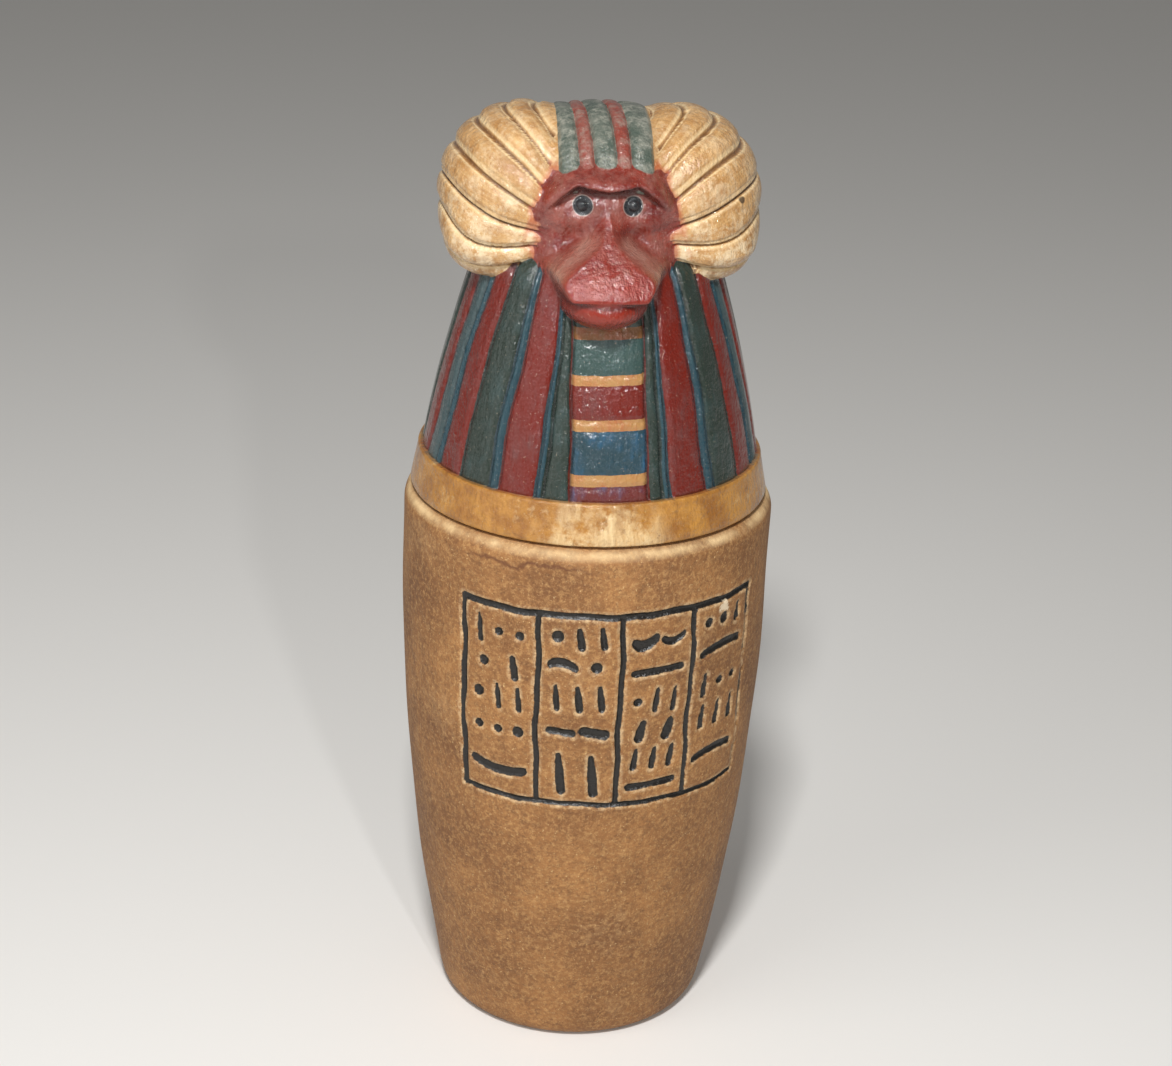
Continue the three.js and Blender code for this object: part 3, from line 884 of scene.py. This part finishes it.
m.node_tree.links.new(tone, shader.inputs["Base Color"])
m.node_tree.links.new(w.ramp(filled, 0, 1, 0.72, 0.3), shader.inputs["Roughness"])
bump = w.add("ShaderNodeBump", {"Strength": 0.9, "Distance": 0.0009, "Height": use["cast_grain"]})
m.node_tree.links.new(bump.outputs[0], shader.inputs["Normal"])
jar.data.materials.append(m)
print("jar material nodes:", len(m.node_tree.nodes))

# %% [markdown]
# ## The painted wig and crown
#
# Flat colours were brushed between the modelled edges, a little unevenly. A ramp with hard stops on
# each pattern's place gives them, and a wobble added to the place makes the borders look brushed.
# Streaks then lift the reds to orange and the darks to a paler green, and the strip's blue to a
# brighter one. A pale grey painted sheen lies over the crown's bands, and the ochre bar under the chin
# is painted brown as its shadow.

# %% The wig's and the crown's paint
m, w, use, shader = material("painted_lid", ("worn_patches", "fine_speckle", "brush_streaks", "cast_grain"))
place = w.add("ShaderNodeTexCoord").outputs["Object"]
across, toward, height = w.split(place)
wobble = w.ramp(w.noise(place, 330, 3, 0.6), 0, 1, -1, 1)
RED, TEAL, BLUE, GREY = srgb(102, 21, 6), srgb(36, 47, 40), srgb(30, 60, 70), srgb(54, 70, 72)
# The brown is painted shade: the ochre bar under the chin, darkened as the chin's shadow.
OCHRE, DARK_RED, OCHRE_IN_CHIN_SHADOW = srgb(166, 124, 74), srgb(96, 34, 30), srgb(120, 80, 42)
STRIP_BLUE, STRIP_TEAL = srgb(34, 58, 66), srgb(44, 66, 62)
CROWN_GREY, CROWN_RED = srgb(72, 82, 73), srgb(128, 58, 47)

side_colours = [TEAL, BLUE, RED, BLUE, TEAL, RED, BLUE, GREY]
back_colours = [TEAL if i % 2 else RED for i in range(len(BAND_EDGES) - len(FRONT_EDGES) + 1)]
reed = w.nudged(w.field("reed"), wobble, 0.0022)
wig_tone = w.bands(reed, BAND_EDGES / 180, [RED, *side_colours, *back_colours])
strip = w.nudged(w.field("strip"), wobble, 0.005)
strip_colours = [DARK_RED, OCHRE, STRIP_BLUE, OCHRE, RED, OCHRE, STRIP_TEAL, OCHRE_IN_CHIN_SHADOW, TEAL]
strip_tone = w.bands(strip, (STRIP_EDGES - BAND_TOP) / 60, strip_colours)
in_strip = w.ramp(reed, (STRIP_HALF - 0.2) / 180, (STRIP_HALF + 0.2) / 180, 1, 0)
wig_tone = w.mix(in_strip, wig_tone, strip_tone)

bright = w.product(use["brush_streaks"], w.ramp(w.noise(place, 130, 4, 0.6), 0.42, 0.68))
in_blue = w.product(in_strip, w.ramp(strip, 17.6 / 60, 18 / 60, 1, 0))
cool = w.mix(w.product(bright, w.ramp(in_blue, 0, 1, 0.45, 0.65)), wig_tone,
             w.mix(in_blue, srgb(58, 84, 86), srgb(40, 98, 136)))
warm = w.mix(w.product(bright, 0.75), wig_tone, srgb(158, 44, 12))
hair_tone = w.mix(w.redness(wig_tone), cool, warm)

over = w.nudged(w.field("over_crown"), wobble, 0.008)
crown_colours = [CROWN_GREY, CROWN_RED, CROWN_GREY, CROWN_RED, CROWN_GREY]
crown_tone = w.bands(over, (CROWN_EDGES[1:-1] + 14) / 28, crown_colours)
# Painted sheen: a pale grey veil over the crown's bands, along the brush streaks and in clouds, weaker on
# the red ones.
crown_sheen = w.math("MAXIMUM", bright, w.ramp(w.noise(place, 240, 6, 0.8), 0.46, 0.62))
crown_sheen = w.product(crown_sheen, w.ramp(w.redness(crown_tone), 0, 1, 0.7, 0.45))
crown_tone = w.mix(crown_sheen, crown_tone, srgb(156, 154, 141))
print("wig and crown colours:", len(side_colours) + len(back_colours) + 1, "and", len(crown_colours))

# %% [markdown]
# ## The ruff's hair
#
# The ochre was washed on and rubbed off again: fine strands run along each lock, the lower locks are
# worn to cream and a little red has crept over from the face. Each channel and the lock's edge beside
# it are painted pale, as rubbed wear and a painted highlight, and the cuts are painted dark brown as
# shade. Combing the noise with the stored lock angle makes its strands follow the locks.

# %% The ruff's paint
LOBE_CHIP = (0.0352, -0.0165, (H + 2.9) * MM)

lock_clouds = w.ramp(w.noise(place, 120, 5, 0.65), 0.35, 0.65)
ruff_tone = w.mix(lock_clouds, srgb(194, 152, 100), srgb(160, 114, 62))
combed = w.add("ShaderNodeCombineXYZ", {"X": w.product(w.field("lock"), 90.0),
               "Y": w.product(toward, 60.0), "Z": w.product(across, 30.0)})
strands = w.ramp(w.noise(combed.outputs[0], 1.0, 6, 0.75), 0.48, 0.66)
ruff_tone = w.mix(w.product(strands, 0.4), ruff_tone, srgb(222, 190, 136))
low = w.ramp(height, (H - 14) * MM, (H + 12) * MM, 1, 0.4)
cream = w.product(w.math("MAXIMUM", use["worn_patches"], use["fine_speckle"]), low)
ruff_tone = w.mix(w.product(cream, 0.95), ruff_tone, srgb(230, 212, 178))
rubbed = w.product(w.ramp(w.noise(place, 170, 7, 0.85), 0.46, 0.58), low)
ruff_tone = w.mix(w.product(rubbed, 0.7), ruff_tone, srgb(230, 212, 178))

hollow = w.field("hollow")
# Painted highlight and wear: pale along each channel and the lock edges beside it, found from the relief's
# depth.
edge = w.product(w.ramp(hollow, 0.35, 0.7), w.ramp(hollow, 0.8, 1.0, 1, 0))
ruff_tone = w.mix(w.product(edge, 0.6), ruff_tone, srgb(232, 208, 162))
stain = w.ramp(w.noise(place, 150, 7, 0.8), 0.5, 0.68, 0, 0.45)
ruff_tone = w.mix(stain, ruff_tone, srgb(134, 82, 32))
# Painted shade: the deepest part of each cut is darkened to brown.
ruff_tone = w.mix(w.product(w.ramp(hollow, 0.95, 1.4), 0.8), ruff_tone, srgb(96, 58, 26))
red_creep = w.ramp(w.nudged(w.field("is_skin"), wobble, 1.1), -1.3, -0.2, 0, 0.6)
ruff_tone = w.mix(red_creep, ruff_tone, srgb(164, 60, 40))
chip = w.nudged(w.distance(place, LOBE_CHIP), wobble, 0.0005)
ruff_tone = w.mix(w.ramp(chip, 0.0010, 0.0014, 0.85, 0), ruff_tone, srgb(52, 36, 24))

above_wig = w.ramp(w.nudged(w.field("is_ruff"), wobble, 0.2), -0.1, 0.1)
on_crown = w.ramp(w.nudged(w.field("is_crown"), wobble, 0.2), -0.1, 0.1)
hair_tone = w.mix(above_wig, hair_tone, w.mix(on_crown, ruff_tone, crown_tone))
print("lobe chip at", [round(c, 4) for c in LOBE_CHIP])

# %% [markdown]
# ## The face's paint
#
# The skin is a dark red-brown, clearer red on the muzzle, with a pale painted sheen over the face above
# the lip, painted highlights on the ridges beside the muzzle's flat top, and painted shade in the creases
# of the brow and mouth. Each eye is a black disc in a thin grey ring.

# %% The face's paint
skin_clouds = w.ramp(w.noise(place, 110, 5, 0.7), 0.38, 0.66)
skin_tone = w.mix(skin_clouds, srgb(118, 38, 26), srgb(92, 35, 30))
muzzle = w.product(w.ramp(toward, -0.028, -0.042), w.ramp(w.noise(place, 150, 4, 0.6), 0.3, 0.6, 0.55, 1))
skin_tone = w.mix(muzzle, skin_tone, srgb(128, 32, 12))
# Painted sheen: a pale pinkish-grey veil in clouds over the face, fading out down the muzzle.
upper_face_sheen = w.product(w.ramp(w.noise(place, 170, 6, 0.75), 0.44, 0.62, 0, 0.3),
                  w.ramp(height, (H - 14) * MM, (H - 8) * MM))
skin_tone = w.mix(upper_face_sheen, skin_tone, srgb(168, 124, 112))
# Painted highlight: pale pinkish-grey along the ridges beside the muzzle's flat top.
ridge = w.product(w.field("flank_highlight"), w.ramp(w.noise(place, 190, 4, 0.6), 0.3, 0.6, 0.35, 0.9))
skin_tone = w.mix(ridge, skin_tone, srgb(158, 118, 104))
skin_tone = w.mix(w.product(bright, 0.35), skin_tone, srgb(156, 50, 26))
# Painted shade: near black in the crease under the brow and along the mouth line.
skin_tone = w.mix(w.product(w.field("crease_shade"), 0.7), skin_tone, srgb(44, 16, 16))
eye = w.nudged(w.field("in_eye"), wobble, 0.12)
skin_tone = w.mix(w.ramp(eye, -0.22, -0.08, 0, 0.6), skin_tone, srgb(150, 142, 134))
skin_tone = w.mix(w.ramp(eye, -0.05, 0.2), skin_tone, srgb(34, 36, 39))
on_skin = w.ramp(w.nudged(w.field("is_skin"), wobble, 0.25), -0.1, 0.1)
tone = w.mix(on_skin, hair_tone, skin_tone)
print("lid nodes so far:", len(m.node_tree.nodes))

# %% [markdown]
# ## The band's paint and the varnish
#
# The band is ochre, rubbed pale in upright strokes at the front. The wig's grooves are painted dark
# as shade. The varnish is a clear coat over it all, brushed on lumpy, so it breaks every highlight into
# specks; the hair and the band took less of it.

# %% The band's paint and the varnish
band_clouds = w.ramp(w.noise(place, 90, 6, 0.7), 0.4, 0.6)
band_tone = w.mix(band_clouds, srgb(178, 126, 56), srgb(142, 92, 36))
front = w.product(w.ramp(toward, -0.0435, -0.0465), w.ramp(w.noise(place, 130, 4, 0.7), 0.4, 0.55))
rubbed = w.math("MAXIMUM", w.product(use["worn_patches"], 0.4),
                w.product(front, w.ramp(use["brush_streaks"], 0, 1, 0.35, 0.95)))
band_tone = w.mix(rubbed, band_tone, srgb(222, 194, 146))
smudge = w.ramp(w.noise(place, 300, 6, 0.8), 0.56, 0.68, 0, 0.55)
band_tone = w.mix(smudge, band_tone, srgb(98, 60, 28))
in_band = w.ramp(height, (BAND_TOP - 0.1) * MM, (BAND_TOP + 0.15) * MM, 1, 0)
tone = w.mix(in_band, tone, band_tone)
tone = w.mix(w.product(use["fine_speckle"], 0.2), tone, srgb(226, 206, 180))
# Painted shade: the wig's scored grooves are darkened to near black by their depth.
groove_shade = w.product(w.ramp(hollow, 0.5, 1.1, 0, 0.6), w.math("SUBTRACT", 1.0, above_wig))
tone = w.mix(groove_shade, tone, srgb(22, 20, 20))
m.node_tree.links.new(tone, shader.inputs["Base Color"])

gloss = w.ramp(w.noise(place, 240, 4, 0.6), 0.35, 0.7, 0.12, 0.34)
dull = w.math("MAXIMUM", w.product(above_wig, w.math("SUBTRACT", 1.0, on_skin)), in_band)
m.node_tree.links.new(w.nudged(gloss, dull, 0.14), shader.inputs["Roughness"])
shader.inputs["Specular IOR Level"].default_value = 0.3
shader.inputs["Coat Weight"].default_value = 0.7
shader.inputs["Coat Roughness"].default_value = 0.06
lump = w.nudged(use["cast_grain"], use["brush_streaks"], 0.25)
lump = w.nudged(lump, w.noise(place, 900, 3, 0.6), 0.45)
bump = w.add("ShaderNodeBump", {"Strength": 0.8, "Distance": 0.0008, "Height": lump})
for socket in ("Normal", "Coat Normal"):
    m.node_tree.links.new(bump.outputs[0], shader.inputs[socket])
lid.data.materials.append(m)
print("lid material nodes:", len(m.node_tree.nodes))

# %% [markdown]
# ## Stage
#
# The jar stands on a plain pale floor in plain studio light: a lamp above and in front, a smaller one
# lower down for the varnish to catch, a broad weak one from the left, and an even pale surround.

# %% Floor, lamps and camera
floor_mesh = bpy.data.meshes.new("floor")
floor_mesh.from_pydata([(-3, -3, 0), (3, -3, 0), (3, 3, 0), (-3, 3, 0)], [], [(0, 1, 2, 3)])
floor = bpy.data.objects.new("floor", floor_mesh)
bpy.context.scene.collection.objects.link(floor)
floor_material = bpy.data.materials.new("floor")
floor_material.use_nodes = True
floor_material.node_tree.nodes["Principled BSDF"].inputs["Base Color"].default_value = srgb(232, 230, 226)
floor_material.node_tree.nodes["Principled BSDF"].inputs["Roughness"].default_value = 0.9
floor_mesh.materials.append(floor_material)
print("floor at", floor_mesh.vertices[0].co.z)


def lamp(name, place, target, size, watts):
    """A square soft lamp turned to face a point."""
    data = bpy.data.lights.new(name, "AREA")
    data.size, data.energy = size, watts
    body = bpy.data.objects.new(name, data)
    body.location = place
    body.rotation_euler = (Vector(target) - Vector(place)).to_track_quat("-Z", "Y").to_euler()
    bpy.context.scene.collection.objects.link(body)


lamp("key", (-0.1, -0.6, 0.85), (0, 0, 0.2), 0.1, 8.5)
lamp("front", (0.1, -0.78, 0.52), (0, 0, 0.2), 0.03, 1.6)
lamp("side", (-0.8, -0.5, 0.5), (0, 0, 0.15), 0.7, 2.5)
world = bpy.data.worlds.new("surround")
bpy.context.scene.world = world
world.use_nodes = True
world.node_tree.nodes["Background"].inputs["Color"].default_value = (1, 0.985, 0.96, 1)
world.node_tree.nodes["Background"].inputs["Strength"].default_value = 0.19
bpy.context.scene.view_settings.view_transform = "Standard"

PITCH, ROLL, TURN = 22.86, 2.29, -5.0
DISTANCE, EYE_HEIGHT = 0.620, 0.4003
lens = bpy.data.cameras.new("camera")
lens.sensor_width = 36
lens.lens = 75.49
camera = bpy.data.objects.new("camera", lens)
turn = math.radians(TURN)
stand = Vector((math.sin(turn) * DISTANCE, -math.cos(turn) * DISTANCE, EYE_HEIGHT))
aim = (Matrix.Rotation(turn, 4, "Z") @ Matrix.Rotation(math.radians(90 - PITCH), 4, "X")
       @ Matrix.Rotation(math.radians(ROLL), 4, "Z"))
camera.matrix_world = Matrix.Translation(stand) @ aim
bpy.context.scene.collection.objects.link(camera)
bpy.context.scene.camera = camera
print("camera at", [round(c, 3) for c in stand], "lens", lens.lens)
